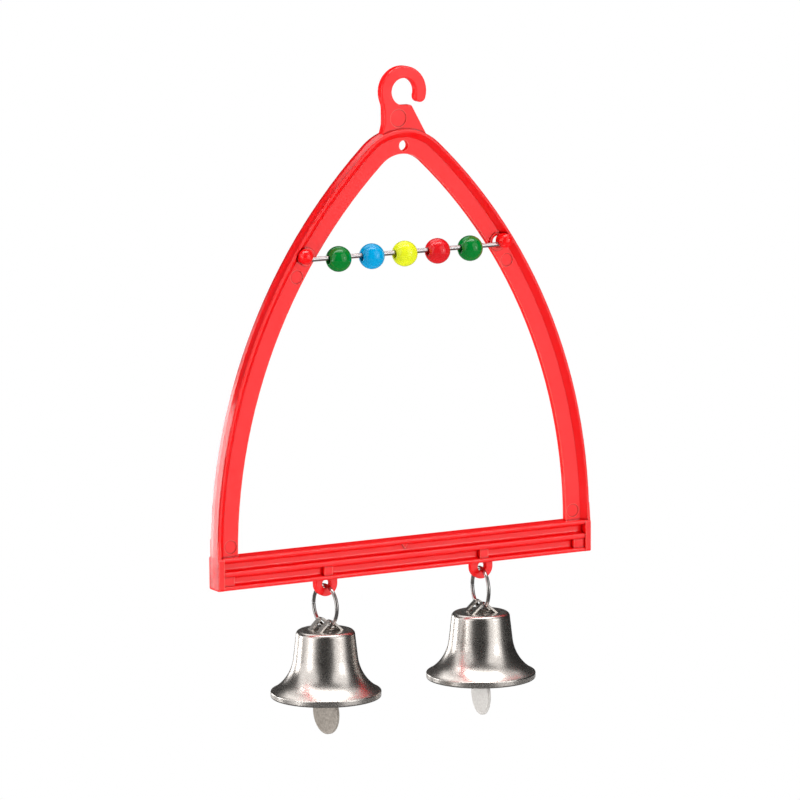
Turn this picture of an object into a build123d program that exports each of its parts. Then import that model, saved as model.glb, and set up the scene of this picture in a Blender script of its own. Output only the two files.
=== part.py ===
"""Bird swing: a moulded arch with a hook, five beads on a wire and two hanging bells.

Millimetres. +X runs along the perch bar, +Y to the back and +Z up. The origin is the centre of
the hook's eye, where a cage wire passes.
"""

import os
from math import acos, atan2, cos, degrees, radians, sin, sqrt

from build123d import *

# Arch
frame_width = 110.0
side_radius = 140.8
crown_radius = 14.8
arm_width = 6.45
web_thickness = 1.6
rim_width = 0.75
rim_foot_width = 2.2
rim_depth = 4.4
rim_edge_radius = 0.28
rim_edge_share = 0.38

# Perch bar
bar_height = 8.4
bar_depth = 5.2
rib_height = 1.1
middle_rib_height = 1.4
rib_edge_radius = 0.4
rib_edge_share = 0.4
groove_round = 0.7
groove_round_share = 0.4
end_plate_width = 1.55
end_plate_proud = 0.25
end_plate_radius = 0.5
end_slope_height = 4.6
end_pad_length = 2.4
pad_height = 1.3
lug_pad_width = 2.4
gate_width = 2.2
gate_height = 1.6
gate_proud = 0.25

# Hook
eye_rise = 9.6
eye_shift = 0.5
eye_radius = 3.5
hook_band = 3.1
hook_thickness = 2.4
hook_edge_radius = 0.35
hook_edge_share = 0.3
tip_angle = -16.4
ledge_reach = 2.2
ledge_corner_radius = 0.8
neck_inset = 0.85
neck_corner_radius = 5.0
neck_right = 6.5
neck_sink = 1.6
flare_height = 1.3
flare_reach = 0.8
flare_corner_radius = 3.0

# Lugs under the bar
lug_spacing = 46.1
lug_radius = 3.25
lug_hole_radius = 1.2
lug_drop = 1.35
lug_thickness = 1.8
lug_edge_radius = 0.3
lug_edge_share = 0.25

# Bead wire, its bosses and the beads
wire_diameter = 1.2
wire_lift = 1.1
wire_seat = 0.9
boss_spacing = 58.46
boss_radius = 1.9
boss_height = 3.8
boss_round = 1.75
boss_round_share = 0.93
boss_rise = 0.95
boss_inset = 2.8
core_radius = 1.6
core_shift = 1.2
core_drop = 0.35
collar_width = 0.7
collar_height = 0.35
bead_diameter = 6.65
bead_bore_diameter = 2.2
bead_end_room = 8.03
bead_clearance = 0.08
bead_edge_radius = 0.2

# Holes and moulding marks
apex_hole_radius = 1.35
apex_hole_drop = 4.35
mark_radius = 1.75
hook_mark_radius = 2.3
hook_mark_left = 1.7
hook_mark_drop = 6.75
mark_depth = 0.2
upper_mark_drop = 5.4
lower_mark_height = 2.6

# Jump rings
ring_radius = 5.4
ring_wire_diameter = 1.0
ring_clearance = 0.2
ring_seam = 0.2
ring_room = 0.4

# Bells
bell_turn = 6.0
bell_height = 17.65
shoulder_radius = 7.7
shoulder_round = 1.2
waist_spread = 0.7
waist_drop = 7.3
lip_radius = 14.4
lip_band = 1.8
lip_proud = 0.45
lip_round = 0.45
lip_round_share = 0.47
sheet_thickness = 0.5
strap_half_span = 3.2
strap_width = 1.6
strap_offset = 2.1
strap_bend_room = 0.2
strap_clearance = 0.08

# Clappers
clapper_radius = 5.65
clapper_length = 18.3
clapper_thickness = 0.9
clapper_neck_width = 2.2
clapper_neck_round = 1.0
clapper_eye_band = 0.8
clapper_eye_clearance = 0.15
clapper_hang = 0.45
clapper_edge_radius = 0.2
clapper_edge_share = 0.3

# Room for cuts to run past a face, and the slack in picking an edge by its place
overrun = 1.0
pick_slack = 0.001

# Arch line: two wide side arcs that run into a small crown arc
half_width = frame_width / 2
side_centre_x = side_radius - half_width
crown_climb = sqrt((side_radius - crown_radius) ** 2 - side_centre_x**2)
crown_angle = degrees(atan2(crown_climb, side_centre_x))
apex_z = -eye_rise
crown_z = apex_z - crown_radius
bar_top = crown_z - crown_climb
bar_bottom = bar_top - bar_height
web_middle_inset = (rim_foot_width + arm_width) / 2

# The arch's middle stands a little beside the eye. These upright planes face the front and the right there
middle_x = -eye_shift
front_plane = Plane((middle_x, 0, 0), x_dir=(1, 0, 0), z_dir=(0, -1, 0))
side_plane = Plane((middle_x, 0, 0), x_dir=(0, 1, 0), z_dir=(1, 0, 0))


def arch_x(inset, level):
    """Half width, at a level, of the arch line moved inwards by inset."""
    return sqrt((side_radius - inset) ** 2 - (level - bar_top) ** 2) - side_centre_x


def arch_z(inset, half):
    """Level at which the arch line, moved inwards by inset, has this half width."""
    return bar_top + sqrt((side_radius - inset) ** 2 - (side_centre_x + half) ** 2)


def arch_face(inset, floor, mode=Mode.ADD):
    """Fill the arch line, moved inwards by inset, down to the level floor."""
    foot = half_width - inset
    with BuildLine() as outline:
        CenterArc((-side_centre_x, bar_top), side_radius - inset, 0, crown_angle)
        CenterArc((0, crown_z), crown_radius - inset, crown_angle, 180 - 2 * crown_angle)
        CenterArc((side_centre_x, bar_top), side_radius - inset, 180 - crown_angle, crown_angle)
        if floor < bar_top:
            Polyline((-foot, bar_top), (-foot, floor), (foot, floor), (foot, bar_top))
        else:
            Line((-foot, bar_top), (foot, bar_top))
    make_face(outline.edges(), mode=mode)


def follows_arch(edge, inset, depth):
    """Tell whether an edge runs along the arch line at this inset and this distance from mid-depth."""
    if abs(abs(edge.center().Y) - depth) > pick_slack:
        return False
    if edge.geom_type == GeomType.CIRCLE:
        radii = (side_radius - inset, crown_radius - inset)
        return min(abs(edge.radius - radius) for radius in radii) < pick_slack
    return abs(abs(edge.center().X - middle_x) - (half_width - inset)) < pick_slack


# Arms: a flat web with a raised rim on its outer edge, front and back, whose inner side slopes
arm_floor = bar_top - rib_height
rim_proud = (rim_depth - web_thickness) / 2
rim_slope = (rim_foot_width - rim_width) / rim_proud
edge_round = min(rim_edge_radius, rim_proud * rim_edge_share, rim_width * rim_edge_share)
with BuildPart() as arms:
    with BuildSketch(front_plane):
        arch_face(0, arm_floor)
        arch_face(arm_width, arm_floor, Mode.SUBTRACT)
    extrude(amount=rim_depth / 2, both=True)
    for side in (-1, 1):
        with BuildSketch(front_plane.offset(side * web_thickness / 2)):
            arch_face(rim_foot_width, arm_floor - overrun)
        with BuildSketch(front_plane.offset(side * (rim_depth / 2 + overrun))):
            arch_face(rim_width - rim_slope * overrun, arm_floor - overrun)
        loft(ruled=True, mode=Mode.SUBTRACT)
    fillet(arms.edges().filter_by(lambda e: follows_arch(e, 0, rim_depth / 2)), edge_round)

# End slopes: the rim deepens at the front as it runs into the end plates of the bar
slope_top = bar_top + end_slope_height
with BuildPart() as end_slopes:
    with BuildSketch(front_plane):
        arch_face(0, arm_floor)
        arch_face(rim_width, arm_floor, Mode.SUBTRACT)
    extrude(amount=bar_depth / 2, both=True)
    with BuildSketch(side_plane):
        with BuildLine():
            Polyline(
                (bar_depth / 2, arm_floor),
                (bar_depth / 2, bar_top),
                (rim_depth / 2, bar_top),
                (rim_depth / 2, slope_top),
                (-rim_depth / 2, slope_top),
                (-bar_depth / 2, bar_top),
                (-bar_depth / 2, arm_floor),
                close=True,
            )
        make_face()
    extrude(amount=half_width, both=True, mode=Mode.INTERSECT)

# Perch bar: a web with three ribs along it, front and back, between two end plates
bar_middle = (bar_top + bar_bottom) / 2
lower_groove_floor = bar_bottom + rib_height
lower_groove_top = bar_middle - middle_rib_height / 2
groove_gap = lower_groove_top - lower_groove_floor
rib_proud = (bar_depth - web_thickness) / 2
root_corner = min(groove_round, rib_proud * groove_round_share, groove_gap * groove_round_share)
rib_corner = min(rib_edge_radius, rib_height * rib_edge_share, rib_proud * rib_edge_share)
lug_x = lug_spacing / 2
with BuildPart() as perch_bar:
    with BuildSketch(side_plane) as bar_section:
        with Locations((0, bar_middle)):
            Rectangle(web_thickness, bar_height)
            Rectangle(bar_depth, middle_rib_height)
        with Locations((0, bar_top - rib_height / 2), (0, bar_bottom + rib_height / 2)):
            Rectangle(bar_depth, rib_height)
        for reach, corner_round in ((web_thickness / 2, root_corner), (bar_depth / 2, rib_corner)):
            corners = bar_section.vertices().filter_by(lambda v: abs(abs(v.X) - reach) < pick_slack)
            fillet(corners, corner_round)
    extrude(amount=half_width - end_plate_width / 2, both=True)
    # Low pads in the lower groove: one at each end and one above each lug
    with BuildSketch(front_plane):
        groove_middle = (lower_groove_floor + lower_groove_top) / 2
        pad_reach = groove_gap + rib_height
        pad_x = half_width - end_plate_width - end_pad_length / 2
        with Locations((-pad_x, groove_middle), (pad_x, groove_middle)):
            Rectangle(end_pad_length + end_plate_width, pad_reach)
        with Locations((-lug_x, groove_middle), (lug_x, groove_middle)):
            Rectangle(lug_pad_width, pad_reach)
    extrude(amount=web_thickness / 2 + pad_height, both=True)
    # Small wedge in the middle of the upper groove, where the moulding was filled
    gate_top = bar_top - rib_height
    with BuildSketch(front_plane):
        with BuildLine():
            gate_tip = (0, gate_top - gate_height)
            Polyline((-gate_width / 2, gate_top), (gate_width / 2, gate_top), gate_tip, close=True)
        make_face()
    extrude(amount=web_thickness / 2 + gate_proud)

with BuildPart() as end_plates:
    for side in (-1, 1):
        with BuildSketch(side_plane.offset(side * half_width)):
            with Locations((0, bar_middle)):
                RectangleRounded(bar_depth + 2 * end_plate_proud, bar_height, end_plate_radius)
        extrude(amount=-side * end_plate_width)

# Hook: an open eye on a neck that stands on the crown
hook_radius = eye_radius + hook_band
neck_left = hook_radius - neck_inset
neck_foot_z = apex_z - neck_sink
tip_radius = eye_radius + hook_band / 2
tip_x = tip_radius * cos(radians(tip_angle))
tip_z = tip_radius * sin(radians(tip_angle))
neck_top_z = -sqrt(hook_radius**2 - neck_left**2)
outer_sweep = 180 + degrees(acos(neck_left / hook_radius)) - tip_angle
hook_edge = min(hook_edge_radius, hook_thickness * hook_edge_share, hook_band * hook_edge_share)
with BuildPart() as hook_plate:
    with BuildSketch(Plane.XZ) as hook_outline:
        with BuildLine():
            CenterArc((0, 0), hook_radius, tip_angle, outer_sweep)
            Polyline(
                (-neck_left, neck_top_z),
                (-neck_left, apex_z + flare_height),
                (-neck_left - flare_reach, neck_foot_z),
                (neck_right, neck_foot_z),
                (ledge_reach, -eye_radius),
                (0, -eye_radius),
            )
            CenterArc((0, 0), eye_radius, -90, tip_angle - 270)
            CenterArc((tip_x, tip_z), hook_band / 2, tip_angle, -180)
        make_face()
        fillet(hook_outline.vertices().sort_by_distance((ledge_reach, -eye_radius))[0], ledge_corner_radius)
        fillet(hook_outline.vertices().sort_by_distance((-neck_left, neck_top_z))[0], neck_corner_radius)
        flare_corner = (-neck_left, apex_z + flare_height)
        fillet(hook_outline.vertices().sort_by_distance(flare_corner)[0], flare_corner_radius)
        with Locations((middle_x, crown_z)):
            Circle(crown_radius - rim_width / 2, mode=Mode.SUBTRACT)
    extrude(amount=hook_thickness / 2, both=True)
    hook_edges = hook_plate.faces().filter_by(Axis.Y).edges()
    fillet(hook_edges.filter_by(lambda e: e.center().Z > apex_z + flare_height), hook_edge)

# Lugs: eyelets under the bar that carry the jump rings
lug_z = bar_bottom - lug_drop
with BuildPart() as lugs:
    with BuildSketch(front_plane):
        with Locations((-lug_x, lug_z), (lug_x, lug_z)):
            Circle(lug_radius)
            Rectangle(2 * lug_radius, lug_drop + rib_height, align=(Align.CENTER, Align.MIN))
            Circle(lug_hole_radius, mode=Mode.SUBTRACT)
    extrude(amount=lug_thickness / 2, both=True)
    lug_edge = min(lug_edge_radius, lug_thickness * lug_edge_share)
    fillet(lugs.faces().filter_by(Axis.Y).edges(), lug_edge)

# Wire bosses: domed studs on the front of the web, against the rim, each with a low collar round
# the hole that the mould's core leaves beside it
boss_x = boss_spacing / 2
boss_z = arch_z(boss_inset, boss_x)
wire_z = boss_z - boss_rise
wire_y = -(web_thickness / 2 + wire_lift)
wire_half_length = boss_x + wire_seat
core_x = boss_x - core_shift
core_z = boss_z - core_drop
with BuildPart() as wire_bosses:
    with BuildSketch(front_plane):
        with Locations((-boss_x, boss_z), (boss_x, boss_z)):
            Circle(boss_radius)
    extrude(amount=web_thickness / 2 + boss_height)
    stud_round = min(boss_round, boss_radius * boss_round_share, boss_height * boss_round_share)
    fillet(wire_bosses.faces().group_by(Axis.Y)[0].edges(), stud_round)
    with BuildSketch(front_plane):
        with Locations((-core_x, core_z), (core_x, core_z)):
            Circle(core_radius + collar_width)
    extrude(amount=web_thickness / 2 + collar_height)
    with BuildSketch(front_plane):
        with Locations((-core_x, core_z), (core_x, core_z)):
            Circle(core_radius)
    extrude(amount=web_thickness / 2 + collar_height, mode=Mode.SUBTRACT)

with BuildPart() as swing_frame:
    add(arms.part)
    add(end_slopes.part)
    add(perch_bar.part)
    add(end_plates.part)
    add(hook_plate.part)
    add(lugs.part)
    # Openings through the web: the hole in the crown and one behind each boss
    with BuildSketch(front_plane):
        with Locations((eye_shift, apex_z - apex_hole_drop)):
            Circle(apex_hole_radius)
        with Locations((-core_x, core_z), (core_x, core_z)):
            Circle(core_radius)
    extrude(amount=web_thickness / 2 + overrun, both=True, mode=Mode.SUBTRACT)
    add(wire_bosses.part)
    # Blind seats for the ends of the bead wire
    with BuildSketch(side_plane):
        with Locations((wire_y, wire_z)):
            Circle(wire_diameter / 2)
    extrude(amount=wire_half_length, both=True, mode=Mode.SUBTRACT)
    # Shallow round marks of the mould's ejector pins
    with BuildSketch(front_plane.offset(web_thickness / 2)):
        for mark_z in (boss_z - upper_mark_drop, bar_top + lower_mark_height):
            mark_x = arch_x(web_middle_inset, mark_z)
            with Locations((-mark_x, mark_z), (mark_x, mark_z)):
                Circle(mark_radius)
    extrude(amount=-mark_depth, mode=Mode.SUBTRACT)
    with BuildSketch(Plane.XZ.offset(hook_thickness / 2)):
        with Locations((-hook_mark_left, -hook_mark_drop)):
            Circle(hook_mark_radius)
    extrude(amount=-mark_depth, mode=Mode.SUBTRACT)

# Bead wire
with BuildPart() as bead_wire:
    with BuildSketch(side_plane):
        with Locations((wire_y, wire_z)):
            Circle(wire_diameter / 2)
    extrude(amount=wire_half_length, both=True)

# Beads: drilled balls, evenly spaced, that hang on the wire by the top of their wide bores
bead_names = ("left_green_bead", "blue_bead", "yellow_bead", "red_bead", "right_green_bead")
bead_bore_radius = bead_bore_diameter / 2
bead_z = wire_z + wire_diameter / 2 + bead_clearance - bead_bore_radius
bead_row = boss_spacing - 2 * (boss_radius + bead_end_room)
bead_pitch = bead_row / (len(bead_names) - 1)
beads = {}
for place, name in enumerate(bead_names):
    bead_x = middle_x + (place - (len(bead_names) - 1) / 2) * bead_pitch
    centre = Plane((bead_x, wire_y, bead_z), x_dir=(1, 0, 0), z_dir=(0, -1, 0))
    with BuildPart() as bead:
        with BuildSketch(centre) as bead_section:
            Circle(bead_diameter / 2)
            Rectangle(bead_diameter, bead_diameter, align=(Align.CENTER, Align.MAX), mode=Mode.SUBTRACT)
            Rectangle(bead_diameter, 2 * bead_bore_radius, mode=Mode.SUBTRACT)
            fillet(bead_section.vertices(), bead_edge_radius)
        revolve(axis=Axis((bead_x, wire_y, bead_z), (1, 0, 0)))
    beads[name] = bead.part

# Hanging pieces: heights down the chain of lug, ring, bell and clapper
ring_wire_radius = ring_wire_diameter / 2
ring_top_z = lug_z - lug_hole_radius + ring_wire_radius + ring_clearance
ring_z = ring_top_z - ring_radius
strap_end = strap_offset + strap_width / 2
strap_bend_radius = ring_wire_radius + strap_bend_room
ring_rest_drop = sqrt((ring_radius - ring_wire_radius) ** 2 - strap_end**2)
ring_reach = ring_radius + ring_wire_radius
strap_rise = ring_reach - ring_rest_drop + ring_room + strap_clearance + sheet_thickness
bell_top = ring_z - ring_reach - ring_room
waist_radius = shoulder_radius + waist_spread
skirt_radius = lip_radius - lip_proud
lip_width = lip_proud + sheet_thickness
lip_corner = min(lip_round, lip_width * lip_round_share, lip_band * lip_round_share)
bend_climb = strap_bend_radius - sqrt(strap_bend_radius**2 - (clapper_thickness / 2) ** 2)
strap_corner_z = clapper_hang + sheet_thickness / 2 + bend_climb
clapper_hole_radius = sqrt((strap_width / 2) ** 2 + strap_corner_z**2) + clapper_eye_clearance
clapper_eye_radius = clapper_hole_radius + clapper_eye_band
clapper_eye_z = bell_top - strap_rise - sheet_thickness / 2 - clapper_hang
clapper_z = clapper_eye_z - clapper_length


def bell_face(inset):
    """Fill half of the bell's outline, moved inwards by inset, from its axis to its wall."""
    taper = atan2(waist_radius - shoulder_radius, waist_drop - shoulder_round)
    chord_x = skirt_radius - waist_radius
    chord_z = bell_height - lip_band - waist_drop
    flare_radius = (chord_x**2 + chord_z**2) / (2 * (chord_x * cos(taper) - chord_z * sin(taper)))
    flare_x = waist_radius + flare_radius * cos(taper)
    flare_z = flare_radius * sin(taper) - waist_drop
    round_x = shoulder_radius - shoulder_round
    wall = skirt_radius - inset
    flare_end = 360 - degrees(acos((wall - flare_x) / (flare_radius + inset)))
    flare_start = 180 + degrees(taper)
    floor = -bell_height - (overrun if inset else 0)
    with BuildLine() as outline:
        shoulder = CenterArc((round_x, -shoulder_round), shoulder_round - inset, 0, 90)
        flare = CenterArc((flare_x, flare_z), flare_radius + inset, flare_start, flare_end - flare_start)
        Line(shoulder @ 0, flare @ 0)
        Polyline(flare @ 1, (wall, floor), (0, floor), (0, -inset), shoulder @ 1)
    make_face(outline.edges())


def strap_face(direction, base):
    """Fill the side view of a strap that is pressed up (1) or down (-1) out of the crown."""
    slope = atan2(strap_rise, strap_half_span)
    bend = strap_bend_radius + sheet_thickness
    peak = strap_rise + bend * (1 / cos(slope) - 1)
    foot = strap_half_span * (peak + sheet_thickness) / strap_rise
    inner_peak = peak - sheet_thickness / cos(slope)
    inner_foot = foot - sheet_thickness / sin(slope)
    levels = [base + direction * height for height in (-sheet_thickness, peak, inner_peak)]
    with BuildSketch(mode=Mode.PRIVATE) as outer:
        with BuildLine():
            Polyline((-foot, levels[0]), (foot, levels[0]), (0, levels[1]), close=True)
        make_face()
        fillet(outer.vertices().sort_by_distance((0, levels[1]))[0], bend)
    with BuildSketch(mode=Mode.PRIVATE) as inner:
        with BuildLine():
            Polyline((-inner_foot, levels[0]), (inner_foot, levels[0]), (0, levels[2]), close=True)
        make_face()
        fillet(inner.vertices().sort_by_distance((0, levels[2]))[0], strap_bend_radius)
    add(outer.sketch)
    add(inner.sketch, mode=Mode.SUBTRACT)


def make_ring(plane):
    """Bend a wire ring round the plane's normal, with a fine seam where its ends meet."""
    seam_angle = degrees(ring_seam / ring_radius)
    with BuildPart(plane) as ring:
        Torus(ring_radius, ring_wire_radius, major_angle=360 - seam_angle)
    return ring.part


def make_bell(plane):
    """Press a bell: a shell with a rolled lip, and two straps up and one down in its crown."""
    with BuildPart() as bell:
        with BuildSketch(plane):
            bell_face(0)
        revolve(axis=Axis(plane.origin, (0, 0, 1)))
        with BuildSketch(plane):
            bell_face(sheet_thickness)
        revolve(axis=Axis(plane.origin, (0, 0, 1)), mode=Mode.SUBTRACT)
        with BuildSketch(plane):
            with Locations((lip_radius - lip_width / 2, lip_band / 2 - bell_height)):
                RectangleRounded(lip_width, lip_band, lip_corner)
        revolve(axis=Axis(plane.origin, (0, 0, 1)))
        for offset_share in (-1, 0, 1):
            strap_plane = plane.offset(offset_share * strap_offset)
            with BuildSketch(strap_plane):
                with Locations((0, -sheet_thickness / 2)):
                    Rectangle(2 * strap_half_span, 2 * sheet_thickness)
            extrude(amount=strap_width / 2, both=True, mode=Mode.SUBTRACT)
            with BuildSketch(strap_plane):
                if offset_share:
                    strap_face(1, 0)
                else:
                    strap_face(-1, -sheet_thickness)
            extrude(amount=strap_width / 2, both=True)
    return bell.part


def make_clapper(plane):
    """Stamp a clapper: an eye, a neck and a round striking disc, from flat sheet."""
    drop = clapper_eye_z - clapper_z
    neck_half = clapper_neck_width / 2
    with BuildPart() as clapper:
        with BuildSketch(plane) as stamping:
            Circle(clapper_eye_radius)
            with Locations((0, -drop / 2)):
                Rectangle(clapper_neck_width, drop)
            with Locations((0, -drop)):
                Circle(clapper_radius)
            neck_corners = stamping.vertices().filter_by(lambda v: abs(abs(v.X) - neck_half) < pick_slack)
            fillet(neck_corners, clapper_neck_round)
            Circle(clapper_hole_radius, mode=Mode.SUBTRACT)
        extrude(amount=clapper_thickness / 2, both=True)
        clapper_edge = min(clapper_edge_radius, clapper_thickness * clapper_edge_share)
        fillet(clapper.faces().filter_by(plane).edges(), clapper_edge)
    return clapper.part


# Each side hangs slightly turned about the upright, the two sides as mirror images
hanging = {}
for side_name, side in (("left", -1), ("right", 1)):
    turn = radians(-side * bell_turn)
    hang_x = middle_x + side * lug_x
    across = (cos(turn), sin(turn), 0)
    along = (-sin(turn), cos(turn), 0)
    front = (sin(turn), -cos(turn), 0)
    ring_plane = Plane((hang_x, 0, ring_z), x_dir=along, z_dir=across)
    bell_plane = Plane((hang_x, 0, bell_top), x_dir=across, z_dir=front)
    clapper_plane = Plane((hang_x, 0, clapper_eye_z), x_dir=along, z_dir=across)
    hanging[side_name + "_jump_ring"] = make_ring(ring_plane)
    hanging[side_name + "_bell"] = make_bell(bell_plane)
    hanging[side_name + "_clapper"] = make_clapper(clapper_plane)

# One STEP file per piece
os.makedirs("parts", exist_ok=True)
swing_frame.part.label = "swing_frame"
export_step(swing_frame.part, "parts/swing_frame.step")
bead_wire.part.label = "bead_wire"
export_step(bead_wire.part, "parts/bead_wire.step")
for name, piece in (beads | hanging).items():
    piece.label = name
    export_step(piece, f"parts/{name}.step")
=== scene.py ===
# %% [markdown]
# # Bird swing
# This lesson dresses a small hanging swing for cage birds: a red moulded arch with a hook, five
# beads on a wire and two nickel bells with flat clappers. The CAD frame already holds every solid
# at its real size, so each step below asks what the real surface looks like, makes that finish, and
# adds the one small form that the solids leave out.

# %% Load the frame
from math import atan2, cos, pi, radians, sin, sqrt, tan

import bmesh
import bpy
from mathutils import Matrix, Vector


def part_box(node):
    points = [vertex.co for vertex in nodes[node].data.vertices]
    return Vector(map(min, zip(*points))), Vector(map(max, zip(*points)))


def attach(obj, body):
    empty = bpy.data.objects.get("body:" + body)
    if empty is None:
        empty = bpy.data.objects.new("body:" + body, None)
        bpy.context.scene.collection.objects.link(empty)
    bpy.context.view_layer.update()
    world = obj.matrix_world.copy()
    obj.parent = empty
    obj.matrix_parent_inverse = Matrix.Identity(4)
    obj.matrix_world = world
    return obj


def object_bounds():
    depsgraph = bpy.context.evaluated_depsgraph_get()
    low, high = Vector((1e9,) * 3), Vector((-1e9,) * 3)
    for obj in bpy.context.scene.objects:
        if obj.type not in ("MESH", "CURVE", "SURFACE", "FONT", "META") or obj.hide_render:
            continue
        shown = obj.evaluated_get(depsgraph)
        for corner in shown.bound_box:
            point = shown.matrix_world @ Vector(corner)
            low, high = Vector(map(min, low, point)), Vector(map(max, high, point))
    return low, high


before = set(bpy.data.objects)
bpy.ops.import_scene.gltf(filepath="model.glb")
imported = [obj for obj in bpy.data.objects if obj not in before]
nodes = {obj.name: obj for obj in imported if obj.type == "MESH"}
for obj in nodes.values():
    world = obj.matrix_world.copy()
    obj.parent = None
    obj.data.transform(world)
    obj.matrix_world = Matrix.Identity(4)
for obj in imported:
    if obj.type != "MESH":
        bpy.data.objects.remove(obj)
cad_low, cad_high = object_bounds()
scene = bpy.context.scene
scene.view_settings.view_transform = "Standard"
print("CAD box from", [round(v, 4) for v in cad_low], "to", [round(v, 4) for v in cad_high])

# %% [markdown]
# ## Camera
# The swing hangs in front of a long lens, seen from its left and a little from above. The angles
# and the distance come from matching the arch, the bar and the lugs to the picture, so the camera
# is set from them directly. A Track To constraint would aim it too, but the picture is also rolled
# by a third of a degree, so the camera's axes are built one by one.

# %% Camera at the photograph's angle
camera_azimuth = radians(28.551)
camera_elevation = radians(9.418)
camera_roll = radians(-0.376)
camera_place = Vector((-0.69746, -1.27975, 0.16138))
focal_pixels = 5701.6
frame_pixels = 800
film_width = 36
view_depth = 20

level_sight = Vector((sin(camera_azimuth), cos(camera_azimuth), 0))
sight = cos(camera_elevation) * level_sight - sin(camera_elevation) * Vector((0, 0, 1))
level_right = Vector((cos(camera_azimuth), -sin(camera_azimuth), 0))
level_up = level_right.cross(sight)
right = cos(camera_roll) * level_right + sin(camera_roll) * level_up
up = cos(camera_roll) * level_up - sin(camera_roll) * level_right

camera = bpy.data.objects.new("camera", bpy.data.cameras.new("camera"))
scene.collection.objects.link(camera)
camera.data.sensor_width = film_width
camera.data.lens = focal_pixels / frame_pixels * film_width
camera.data.clip_end = view_depth
camera_turn = Matrix((right, up, -sight)).transposed().to_4x4()
camera.matrix_world = Matrix.Translation(camera_place) @ camera_turn
scene.camera = camera
print("lens", round(camera.data.lens, 1), "mm")

# %% [markdown]
# ## Studio
# The picture is a product shot on pure white. The bells and the beads tell where the light was: a
# wide soft box to the left, a narrower one to the right, a third overhead with a brighter key
# beside it, and a dark room behind the camera. The lamps are placed by those angles. The white that
# the camera and the reflections see comes from the world and the floor. As a lamp, the world is
# much weaker than that, so it only fills the shadows.

# %% Helpers for shader nodes
def add_node(tree, kind, **values):
    """Add a node and set its fields, and its inputs where the name is an input's."""
    made = tree.nodes.new(kind)
    for key, value in values.items():
        if key in made.inputs:
            made.inputs[key].default_value = value
        else:
            setattr(made, key, value)
    return made


def add_range(tree, low, high, **values):
    """Add a Map Range node that reads its value between low and high."""
    made = add_node(tree, "ShaderNodeMapRange", **values)
    made.inputs["From Min"].default_value = low
    made.inputs["From Max"].default_value = high
    return made


def add_factor(tree, factor, operation="MULTIPLY"):
    """Add a Math node that multiplies its first input by a fixed factor."""
    made = add_node(tree, "ShaderNodeMath", operation=operation)
    made.inputs[1].default_value = factor
    return made


def seen_directly(tree):
    """Return a socket that is 1 for camera, glossy and transmission rays, and 0 for the rest."""
    path = add_node(tree, "ShaderNodeLightPath")
    first = add_node(tree, "ShaderNodeMath", operation="MAXIMUM")
    second = add_node(tree, "ShaderNodeMath", operation="MAXIMUM")
    tree.links.new(path.outputs["Is Camera Ray"], first.inputs[0])
    tree.links.new(path.outputs["Is Glossy Ray"], first.inputs[1])
    tree.links.new(first.outputs[0], second.inputs[0])
    tree.links.new(path.outputs["Is Transmission Ray"], second.inputs[1])
    return second.outputs[0]


# %% World
pure_white = (1, 1, 1, 1)
fill_strength = 0.4
white_strength = 1.0

world = bpy.data.worlds.new("white studio")
scene.world = world
world.use_nodes = True
sky = world.node_tree
sky.nodes.clear()
ambient = add_node(sky, "ShaderNodeBackground", Color=pure_white, Strength=fill_strength)
white = add_node(sky, "ShaderNodeBackground", Color=pure_white, Strength=white_strength)
pick = add_node(sky, "ShaderNodeMixShader")
sky_out = add_node(sky, "ShaderNodeOutputWorld")
sky.links.new(seen_directly(sky), pick.inputs[0])
sky.links.new(ambient.outputs[0], pick.inputs[1])
sky.links.new(white.outputs[0], pick.inputs[2])
sky.links.new(pick.outputs[0], sky_out.inputs["Surface"])
print("world fills with", fill_strength, "and shows", white_strength)

# %% [markdown]
# The floor lies well below the bells. Close to the object it is a matt white sheet that takes the
# shadow, and further out it blends into the white of the background, so no edge shows.

# %% Floor
floor_drop = 0.35
floor_radius = 7
round_segments = 96

floor_level = cad_low.z - floor_drop
floor_bm = bmesh.new()
bmesh.ops.create_circle(
    floor_bm,
    cap_ends=True,
    segments=round_segments,
    radius=floor_radius,
    matrix=Matrix.Translation((0, 0, floor_level)),
)
floor_mesh = bpy.data.meshes.new("floor")
floor_bm.to_mesh(floor_mesh)
floor_bm.free()
floor = bpy.data.objects.new("floor", floor_mesh)
scene.collection.objects.link(floor)
print("floor at", round(floor_level, 3))

# %% White paper on the floor
shadow_reach = 0.12
white_reach = 0.45
paper_tone = (0.92, 0.92, 0.92, 1)

paper = bpy.data.materials.new("white paper")
paper.use_nodes = True
tree = paper.node_tree
tree.nodes.clear()
place = add_node(tree, "ShaderNodeTexCoord")
flat = add_node(tree, "ShaderNodeVectorMath", operation="MULTIPLY")
flat.inputs[1].default_value = (1, 1, 0)
reach = add_node(tree, "ShaderNodeVectorMath", operation="LENGTH")
fade = add_range(tree, low=shadow_reach, high=white_reach, interpolation_type="SMOOTHSTEP")
both = add_node(tree, "ShaderNodeMath", operation="MULTIPLY")
matt = add_node(tree, "ShaderNodeBsdfDiffuse", Color=paper_tone)
glow = add_node(tree, "ShaderNodeEmission", Color=pure_white, Strength=white_strength)
blend = add_node(tree, "ShaderNodeMixShader")
out = add_node(tree, "ShaderNodeOutputMaterial")
tree.links.new(place.outputs["Object"], flat.inputs[0])
tree.links.new(flat.outputs[0], reach.inputs[0])
tree.links.new(reach.outputs["Value"], fade.inputs["Value"])
tree.links.new(fade.outputs["Result"], both.inputs[0])
tree.links.new(seen_directly(tree), both.inputs[1])
tree.links.new(both.outputs[0], blend.inputs[0])
tree.links.new(matt.outputs[0], blend.inputs[1])
tree.links.new(glow.outputs[0], blend.inputs[2])
tree.links.new(blend.outputs[0], out.inputs["Surface"])
floor_mesh.materials.append(paper)
print("paper turns white between", shadow_reach, "and", white_reach)

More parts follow.
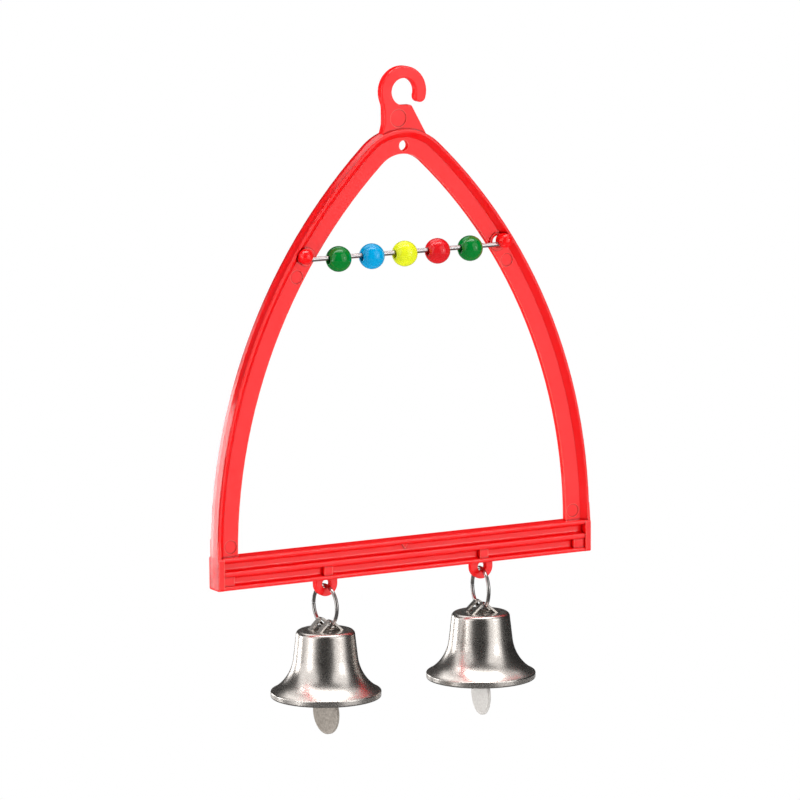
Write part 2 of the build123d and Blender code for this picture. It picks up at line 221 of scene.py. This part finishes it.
# %% [markdown]
# A lamp is placed by the direction in which it is seen from the object: an angle round from the
# camera's own direction, to the right when positive, and an angle above the horizon. The boxes do
# most of the lighting. The narrow bars before them make the small bright marks on the beads, and
# the two strips at the back left show as pale bands in the outer side of the arch.

# %% Soft boxes
scene_centre = (cad_low + cad_high) / 2


def studio_direction(round_angle, rise_angle):
    """Direction from the object, measured from the camera's direction and the horizon."""
    turn = radians(round_angle) - camera_azimuth
    rise = radians(rise_angle)
    return Vector((sin(turn) * cos(rise), -cos(turn) * cos(rise), sin(rise)))


def soft_box(name, angles, distance, size, radiance):
    """Add a rectangular lamp that faces the object, with its brightness given as seen."""
    width, height = size
    lamp = bpy.data.lights.new(name, "AREA")
    lamp.shape = "RECTANGLE"
    lamp.size = width
    lamp.size_y = height
    lamp.energy = radiance * pi * width * height
    box = bpy.data.objects.new(name, lamp)
    scene.collection.objects.link(box)
    way = studio_direction(*angles)
    box.location = scene_centre + way * distance
    box.visible_camera = False
    box.rotation_mode = "QUATERNION"
    box.rotation_quaternion = (-way).to_track_quat("-Z", "Y")
    print(name, "of", round(lamp.energy, 2), "W")


soft_box("left soft box", angles=(-63, 16), distance=1.5, size=(1.76, 2.0), radiance=1.15)
soft_box("right soft box", angles=(54, 16), distance=1.5, size=(1.4, 2.0), radiance=1.25)
soft_box("left bar", angles=(-57, 0), distance=1.46, size=(0.24, 0.6), radiance=4.0)
soft_box("right bar", angles=(58, 10), distance=1.46, size=(0.24, 0.5), radiance=4.0)
soft_box("top soft box", angles=(0, 104), distance=1.3, size=(2.4, 1.7), radiance=0.75)
soft_box("top key", angles=(-80, 82), distance=1.26, size=(0.5, 1.8), radiance=4.4)
soft_box("back strip", angles=(-140, -4), distance=1.6, size=(0.5, 0.45), radiance=2.6)
soft_box("left strip", angles=(-108, -2), distance=1.6, size=(0.4, 0.6), radiance=5.0)

# %% [markdown]
# A polished bell mirrors the whole room, and the dark bands on it are the unlit room round the
# lamps. A round dark wall stands in for that room: high behind the camera, lower at the back, and
# open at the back left, where the white sheet shows in the left edges. A grey card below keeps the
# undersides calm. Only reflections see them: they cast no shadow, and the camera looks through
# them from any side.

# %% Helper for what only reflections see
def reflected_only(name, bm, grey):
    """Turn a bmesh into a matt card that shows in reflections and nowhere else."""
    mesh = bpy.data.meshes.new(name)
    bm.to_mesh(mesh)
    bm.free()
    card = bpy.data.objects.new(name, mesh)
    scene.collection.objects.link(card)
    card.visible_camera = False
    card.visible_diffuse = False
    card.visible_shadow = False
    card.visible_transmission = False
    cloth = bpy.data.materials.new(name)
    cloth.use_nodes = True
    shader = cloth.node_tree.nodes["Principled BSDF"]
    shader.inputs["Base Color"].default_value = (grey, grey, grey, 1)
    shader.inputs["Roughness"].default_value = 1.0
    mesh.materials.append(cloth)
    print(name, "of", len(mesh.polygons), "faces")


# %% Dark room and grey card
room_radius = 1.75
room_steps = 48
room_grey = 0.01
card_radius = 1.5
card_lift = 0.01
card_grey = 0.12

room_bm = bmesh.new()


def dark_wall(round_angles, rise_angles):
    """Spin an upright wall round the object between two angles and two rises."""
    start, end = round_angles
    low, high = [room_radius * tan(radians(angle)) for angle in rise_angles]
    foot = scene_centre + studio_direction(start, 0) * room_radius + Vector((0, 0, low))
    lower = room_bm.verts.new(foot)
    upper = room_bm.verts.new(foot + Vector((0, 0, high - low)))
    edge = room_bm.edges.new((lower, upper))
    bmesh.ops.spin(
        room_bm,
        geom=[lower, upper, edge],
        cent=scene_centre,
        axis=(0, 0, 1),
        angle=radians(end - start),
        steps=room_steps,
    )


dark_wall(round_angles=(-130, 210), rise_angles=(-14, 10))
dark_wall(round_angles=(-180, 180), rise_angles=(10, 38))
dark_wall(round_angles=(-130, 165), rise_angles=(38, 66))
reflected_only("dark_room", room_bm, room_grey)

card_bm = bmesh.new()
bmesh.ops.create_circle(
    card_bm,
    cap_ends=True,
    segments=round_segments,
    radius=card_radius,
    matrix=Matrix.Translation((scene_centre.x, scene_centre.y, floor_level + card_lift)),
)
reflected_only("grey_card", card_bm, card_grey)

# %% [markdown]
# ## Finishes
# Colours are written as they look on screen and turned into the linear values that shaders use.
# Three effects come back in several finishes, so each is a node group: the skin of a moulding,
# which is never quite even, the fine grain of plated or drawn metal, and a painted highlight along
# edges with painted shade in creases. A group is built once, and each finish places it with its own
# values.

# %% Helpers for colours and groups
def screen_colour(red, green, blue):
    """Turn a colour in screen values from 0 to 255 into linear light."""
    def linear(value):
        value = value / 255
        return value / 12.92 if value <= 0.04045 else ((value + 0.055) / 1.055) ** 2.4

    return (linear(red), linear(green), linear(blue), 1)


def start_group(name, inputs, outputs):
    """Start a shader group with named sockets, and return it with its two end nodes."""
    group = bpy.data.node_groups.new(name, "ShaderNodeTree")
    for way, sockets in (("INPUT", inputs), ("OUTPUT", outputs)):
        for label, kind in sockets.items():
            group.interface.new_socket(label, in_out=way, socket_type="NodeSocket" + kind)
    came = add_node(group, "NodeGroupInput")
    goes = add_node(group, "NodeGroupOutput")
    print("group", name)
    return group, came, goes


surface_outputs = {"Colour": "Color", "Roughness": "Float", "Height": "Float"}


# %% Moulded skin group
def make_moulded_skin():
    """Group: a slow unevenness of tone and the faint ripple of a moulded surface."""
    inputs = {
        "Size": "Float",
        "Light tone": "Color",
        "Deep tone": "Color",
        "Gloss low": "Float",
        "Gloss high": "Float",
    }
    group, came, goes = start_group("moulded skin", inputs, surface_outputs)
    place = add_node(group, "ShaderNodeTexCoord")
    slow = add_node(group, "ShaderNodeTexNoise", Detail=2.0, Roughness=0.5)
    fine = add_node(group, "ShaderNodeTexNoise", Scale=2600.0, Detail=3.0, Roughness=0.6)
    mix = add_node(group, "ShaderNodeMix", data_type="RGBA")
    rough = add_range(group, low=0.3, high=0.7)
    weight = add_factor(group, factor=0.01)
    total = add_node(group, "ShaderNodeMath", operation="ADD")
    link = group.links.new
    link(place.outputs["Object"], slow.inputs["Vector"])
    link(place.outputs["Object"], fine.inputs["Vector"])
    link(came.outputs["Size"], slow.inputs["Scale"])
    link(slow.outputs["Fac"], mix.inputs["Factor"])
    link(came.outputs["Light tone"], mix.inputs["A"])
    link(came.outputs["Deep tone"], mix.inputs["B"])
    link(mix.outputs["Result"], goes.inputs["Colour"])
    link(slow.outputs["Fac"], rough.inputs["Value"])
    link(came.outputs["Gloss low"], rough.inputs["To Min"])
    link(came.outputs["Gloss high"], rough.inputs["To Max"])
    link(rough.outputs["Result"], goes.inputs["Roughness"])
    link(fine.outputs["Fac"], weight.inputs[0])
    link(slow.outputs["Fac"], total.inputs[0])
    link(weight.outputs[0], total.inputs[1])
    link(total.outputs[0], goes.inputs["Height"])
    return group


moulded_skin = make_moulded_skin()


# %% Metal grain group
def make_metal_grain():
    """Group: the fine speckle of plating over a slow cloudiness."""
    inputs = {
        "Grain size": "Float",
        "Bright": "Color",
        "Dull": "Color",
        "Gloss low": "Float",
        "Gloss high": "Float",
    }
    group, came, goes = start_group("metal grain", inputs, surface_outputs)
    place = add_node(group, "ShaderNodeTexCoord")
    grain = add_node(group, "ShaderNodeTexNoise", Detail=4.0, Roughness=0.7)
    cloud = add_node(group, "ShaderNodeTexNoise", Scale=190.0, Detail=3.0, Roughness=0.55)
    spread = add_range(group, low=0.35, high=0.68)
    half = add_factor(group, factor=0.5)
    both = add_factor(group, factor=0.5, operation="MULTIPLY_ADD")
    mix = add_node(group, "ShaderNodeMix", data_type="RGBA")
    rough = add_node(group, "ShaderNodeMapRange")
    link = group.links.new
    link(place.outputs["Object"], grain.inputs["Vector"])
    link(place.outputs["Object"], cloud.inputs["Vector"])
    link(came.outputs["Grain size"], grain.inputs["Scale"])
    link(grain.outputs["Fac"], spread.inputs["Value"])
    link(cloud.outputs["Fac"], half.inputs[0])
    link(spread.outputs["Result"], both.inputs[0])
    link(half.outputs[0], both.inputs[2])
    link(both.outputs[0], mix.inputs["Factor"])
    link(came.outputs["Bright"], mix.inputs["A"])
    link(came.outputs["Dull"], mix.inputs["B"])
    link(mix.outputs["Result"], goes.inputs["Colour"])
    link(both.outputs[0], rough.inputs["Value"])
    link(came.outputs["Gloss low"], rough.inputs["To Min"])
    link(came.outputs["Gloss high"], rough.inputs["To Max"])
    link(rough.outputs["Result"], goes.inputs["Roughness"])
    link(spread.outputs["Result"], goes.inputs["Height"])
    return group


metal_grain = make_metal_grain()


# %% [markdown]
# Outer edges get a painted highlight, a lighter tone that stands in for the glints that a glossy
# moulding or a stamped edge catches. Creases get painted shade, a deeper tone where less light
# falls. Ambient occlusion finds both: traced into the solid it is dark along outer edges, and traced
# outwards it is dark along inner ones.

# %% Edge tone group
def make_painted_edge_light():
    """Group: paint a highlight into a colour along outer edges and paint shade into it along creases.
    """
    inputs = {"Colour": "Color", "Painted highlight": "Color", "Painted crease shade": "Color"}
    group, came, goes = start_group("painted edge highlight and crease shade", inputs, {"Colour": "Color"})
    near = {"only_local": True, "samples": 6}
    outer = add_node(group, "ShaderNodeAmbientOcclusion", Distance=0.0004, inside=True, **near)
    inner = add_node(group, "ShaderNodeAmbientOcclusion", Distance=0.0006, **near)
    lighten = add_range(group, low=0.8, high=0.5)
    deepen = add_range(group, low=0.95, high=0.45)
    light_mix = add_node(group, "ShaderNodeMix", data_type="RGBA")
    deep_mix = add_node(group, "ShaderNodeMix", data_type="RGBA")
    link = group.links.new
    link(outer.outputs["AO"], lighten.inputs["Value"])
    link(inner.outputs["AO"], deepen.inputs["Value"])
    link(lighten.outputs["Result"], light_mix.inputs["Factor"])
    link(came.outputs["Colour"], light_mix.inputs["A"])
    link(came.outputs["Painted highlight"], light_mix.inputs["B"])
    link(deepen.outputs["Result"], deep_mix.inputs["Factor"])
    link(light_mix.outputs["Result"], deep_mix.inputs["A"])
    link(came.outputs["Painted crease shade"], deep_mix.inputs["B"])
    link(deep_mix.outputs["Result"], goes.inputs["Colour"])
    return group


painted_edge_group = make_painted_edge_light()


# %% [markdown]
# Every finish here is one Principled shader. A group gives it what changes over the surface, which
# is colour, roughness and bump. Numbers that are the same all over stay on the shader's own sockets,
# where they are easy to find and an exporter can read them.

# %% Finish from a group
scatter_radius = (1.0, 0.12, 0.1)
scatter_scale = 0.002


def make_finish(name, group, values, bump_height, metallic=0.0, specular=0.5, scatter=0.0, edges=None):
    """Make a material whose colour, roughness and bump come from one of the groups."""
    material = bpy.data.materials.new(name)
    material.use_nodes = True
    tree = material.node_tree
    shader = tree.nodes["Principled BSDF"]
    shader.inputs["Metallic"].default_value = metallic
    shader.inputs["Subsurface Weight"].default_value = scatter
    shader.inputs["Subsurface Radius"].default_value = scatter_radius
    shader.inputs["Subsurface Scale"].default_value = scatter_scale
    shader.inputs["Specular IOR Level"].default_value = specular
    effect = add_node(tree, "ShaderNodeGroup", node_tree=group)
    for key, value in values.items():
        effect.inputs[key].default_value = value
    bump = add_node(tree, "ShaderNodeBump", Strength=1.0, Distance=bump_height)
    colour = effect.outputs["Colour"]
    # Edges, where given, are the painted highlight for outer edges and the painted shade for creases.
    if edges:
        edge_light_node = add_node(tree, "ShaderNodeGroup", node_tree=painted_edge_group)
        edge_light_node.inputs["Painted highlight"].default_value, edge_light_node.inputs["Painted crease shade"].default_value = edges
        tree.links.new(colour, edge_light_node.inputs["Colour"])
        colour = edge_light_node.outputs["Colour"]
    tree.links.new(colour, shader.inputs["Base Color"])
    tree.links.new(effect.outputs["Roughness"], shader.inputs["Roughness"])
    tree.links.new(effect.outputs["Height"], bump.inputs["Height"])
    tree.links.new(bump.outputs["Normal"], shader.inputs["Normal"])
    print("finish", name)
    return material


def dress(node, material):
    """Give a CAD node one finish all over."""
    mesh = nodes[node].data
    mesh.materials.clear()
    mesh.materials.append(material)
    for polygon in mesh.polygons:
        polygon.material_index = 0


# %% [markdown]
# ### Red moulding
# The frame is a bright, slightly translucent red plastic with a glossy skin. One flat red would look
# like painted card, so light scatters a little inside it, and the slow ripple that the mould leaves
# breaks up the reflections of the soft boxes.

# %% Red plastic
def moulded_plastic(name, size, light, deep, gloss, bump_height, **extras):
    """Make a plastic from its two tones on screen and its least and most roughness."""
    values = {
        "Size": size,
        "Light tone": screen_colour(*light),
        "Deep tone": screen_colour(*deep),
        "Gloss low": gloss[0],
        "Gloss high": gloss[1],
    }
    return make_finish(name, moulded_skin, values, bump_height, **extras)


red_skin = {
    "size": 120,
    "light": (255, 27, 30),
    "deep": (247, 13, 19),
    "gloss": (0.1, 0.2),
    "bump_height": 0.00012,
    "scatter": 0.8,
}
# Painted highlight along the frame's edges and painted shade in its creases.
red_painted_edge_light = (screen_colour(252, 96, 84), screen_colour(166, 0, 6))
red_plastic = moulded_plastic("red plastic", **red_skin, edges=red_painted_edge_light)
red_side = moulded_plastic("red plastic side", **red_skin)
dress("swing_frame", red_plastic)

# %% [markdown]
# The mould closes at mid-depth of the arch, and each half has to let the moulding go, so the outer
# side is a very low roof with the parting line as its ridge. The solids leave the roof out. Its
# section is five points, drawn at the left foot and spun up the left side, over the crown and down
# the right. The end plates below have straight stretches of it, which are extruded.

# %% Sizes of the arch that the parting line follows
frame_low, frame_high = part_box("swing_frame")
arch_middle = (frame_low.x + frame_high.x) / 2
half_width = (frame_high.x - frame_low.x) / 2
side_radius = 0.1408
crown_radius = 0.0148
apex_level = -0.0096
plate_low = -0.1246

side_centre = side_radius - half_width
crown_climb = sqrt((side_radius - crown_radius) ** 2 - side_centre**2)
crown_level = apex_level - crown_radius
foot_level = crown_level - crown_climb
side_sweep = atan2(crown_climb, side_centre)
print("arch stands at", round(foot_level, 4), "and turns into the crown at", round(crown_level, 4))

# %% Parting line on the outer side of the arch
roof_half = 0.00192
plate_half = 0.00235
roof_draft = radians(7)
roof_sink = 0.0001
side_steps = 64
crown_steps = 40
merge_distance = 0.000001
ridge_angle = radians(4)

roof_bm = bmesh.new()


def roof_section(out, half, level):
    """Draw the roof's section at a level of the left side, where out is -1, or the right one."""
    rise = half * tan(roof_draft)
    points = ((-roof_sink, half), (0, half), (rise, 0), (0, -half), (-roof_sink, -half))
    foot_x = arch_middle + out * half_width
    corners = [roof_bm.verts.new((foot_x + out * reach, depth, level)) for reach, depth in points]
    return roof_bm.faces.new(corners)


for out in (-1, 1):
    grown = bmesh.ops.extrude_face_region(roof_bm, geom=[roof_section(out, plate_half, plate_low)])
    risen = [piece for piece in grown["geom"] if isinstance(piece, bmesh.types.BMVert)]
    bmesh.ops.translate(roof_bm, verts=risen, vec=(0, 0, foot_level - plate_low))

geom = [roof_section(-1, roof_half, foot_level)]
sweeps = (
    (arch_middle + side_centre, foot_level, side_sweep, side_steps),
    (arch_middle, crown_level, pi - 2 * side_sweep, crown_steps),
    (arch_middle - side_centre, foot_level, side_sweep, side_steps),
)
for centre_x, centre_z, sweep, steps in sweeps:
    spun = bmesh.ops.spin(
        roof_bm,
        geom=geom,
        cent=(centre_x, 0, centre_z),
        axis=(0, 1, 0),
        angle=sweep,
        steps=steps,
    )
    geom = spun["geom_last"]
bmesh.ops.remove_doubles(roof_bm, verts=roof_bm.verts, dist=merge_distance)
bmesh.ops.recalc_face_normals(roof_bm, faces=roof_bm.faces)
open_edges = len([edge for edge in roof_bm.edges if len(edge.link_faces) != 2])
roof_mesh = bpy.data.meshes.new("parting_line")
roof_bm.to_mesh(roof_mesh)
roof_bm.free()
roof_mesh.shade_smooth()
roof_mesh.set_sharp_from_angle(angle=ridge_angle)
roof_mesh.materials.append(red_side)
parting_line = bpy.data.objects.new("parting_line", roof_mesh)
scene.collection.objects.link(parting_line)
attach(parting_line, "frame")
print("parting line of", len(roof_mesh.polygons), "faces, with", open_edges, "open edges")

# %% [markdown]
# ### Beads
# The beads are tumbled plastic balls with a high gloss, in four colours. Their holes and the wire
# are in the solids already. A bead is too small to show marks of its own, so the moulded skin with
# two close tones and a low roughness is enough, and the two green beads share one finish.

# %% Bead colours
bead_colours = {
    "green bead": ((0, 126, 46), (0, 116, 40), ("left_green_bead", "right_green_bead")),
    "blue bead": ((0, 164, 220), (0, 156, 214), ("blue_bead",)),
    "yellow bead": ((230, 240, 40), (224, 232, 30), ("yellow_bead",)),
    "red bead": ((224, 30, 36), (214, 22, 30), ("red_bead",)),
}
bead_skin = {"size": 220, "gloss": (0.08, 0.16), "bump_height": 0.000006, "specular": 0.4}
for name, (light, deep, bead_nodes) in bead_colours.items():
    finish = moulded_plastic(name, light=light, deep=deep, **bead_skin)
    for node in bead_nodes:
        dress(node, finish)

# %% [markdown]
# ### Metals
# The bells are satin-bright nickel over pressed steel, and the rings and the bead wire are drawn
# wire. A smooth metal would look like chrome, so the grain group dulls each of them by its own
# amount. The clappers are plain stamped sheet with a coarse grain, a painted highlight along their
# edges and painted shade in their creases. In the picture the right one looks much paler than the
# left; that paler tone is painted light, so each has its own pair of tones.

# %% Nickel and wire
def plated_metal(name, grain_size, bright, dull, gloss, bump_height, metallic=1.0, edges=None):
    """Make a metal from its two tones in linear light and its least and most roughness."""
    values = {
        "Grain size": grain_size,
        "Bright": (*bright, 1),
        "Dull": (*dull, 1),
        "Gloss low": gloss[0],
        "Gloss high": gloss[1],
    }
    return make_finish(name, metal_grain, values, bump_height, metallic=metallic, edges=edges)


nickel = plated_metal(
    "bell nickel",
    grain_size=2600,
    bright=(0.82, 0.775, 0.73),
    dull=(0.42, 0.38, 0.345),
    gloss=(0.22, 0.34),
    bump_height=0.0000025,
)
ring_steel = plated_metal(
    "ring steel",
    grain_size=1800,
    bright=(0.44, 0.42, 0.41),
    dull=(0.3, 0.28, 0.27),
    gloss=(0.14, 0.26),
    bump_height=0.000001,
)
wire_steel = plated_metal(
    "wire steel",
    grain_size=1800,
    bright=(0.6, 0.56, 0.56),
    dull=(0.5, 0.46, 0.46),
    gloss=(0.28, 0.42),
    bump_height=0.000001,
)
dress("bead_wire", wire_steel)
for side in ("left", "right"):
    dress(side + "_jump_ring", ring_steel)
    dress(side + "_bell", nickel)

# %% Clapper steel, with painted light in its tones
# The right clapper's paler pair of tones is painted light: both clappers are the same stamped steel.
clapper_tones_painted_light = {
    "left": ((0.55, 0.49, 0.43), (0.2, 0.17, 0.14)),
    "right": ((0.88, 0.85, 0.81), (0.62, 0.59, 0.56)),
}
# Painted highlight along the clappers' edges and painted shade in their creases.
clapper_painted_edge_light = (screen_colour(240, 234, 224), screen_colour(96, 92, 86))
for side, (bright, dull) in clapper_tones_painted_light.items():
    clapper_steel = plated_metal(
        side + " clapper steel",
        grain_size=1500,
        bright=bright,
        dull=dull,
        gloss=(0.45, 0.65),
        bump_height=0.00003,
        metallic=0.3,
        edges=clapper_painted_edge_light,
    )
    dress(side + "_clapper", clapper_steel)
